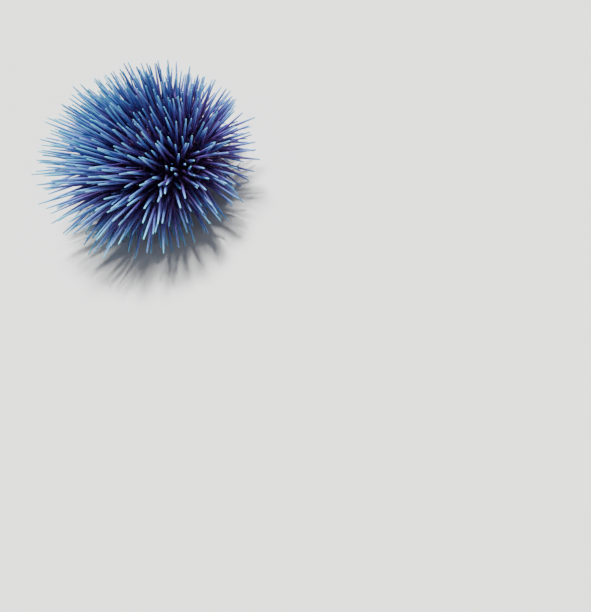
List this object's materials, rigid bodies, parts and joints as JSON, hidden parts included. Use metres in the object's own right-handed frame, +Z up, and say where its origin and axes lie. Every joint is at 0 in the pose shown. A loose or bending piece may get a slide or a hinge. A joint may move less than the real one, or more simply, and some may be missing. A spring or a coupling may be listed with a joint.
{
  "type": "purple sea urchin",
  "caption": "Life-size still model of a purple sea urchin: a low round test bristling with tapered spines, resting on the short spines round its mouth.",
  "frame": {"origin": "centre of the bounding box at the floor, under the mouth", "axes": "+Z up along the animal's axis from the mouth to the apex; ambulacrum_1 points to +Y; the camera of the picture looks from the -Y side"},
  "size_m": [0.1026, 0.102, 0.0553],
  "materials": {
    "spines": "satin blue-violet calcite, paler towards the tips",
    "skin": "moist, near black purple skin",
    "membrane": "moist, dark wine-coloured membrane",
    "teeth": "smooth, off-white"
  },
  "bodies": {
    "root": {"ambulacrum_1": "spines", "ambulacrum_2": "spines", "ambulacrum_3": "spines", "ambulacrum_4": "spines", "ambulacrum_5": "spines", "interambulacrum_1": "spines", "interambulacrum_2": "spines", "interambulacrum_3": "spines", "interambulacrum_4": "spines", "interambulacrum_5": "spines", "apical_disc": "skin", "peristome": "membrane", "teeth": "teeth"}
  },
  "joints": []
}
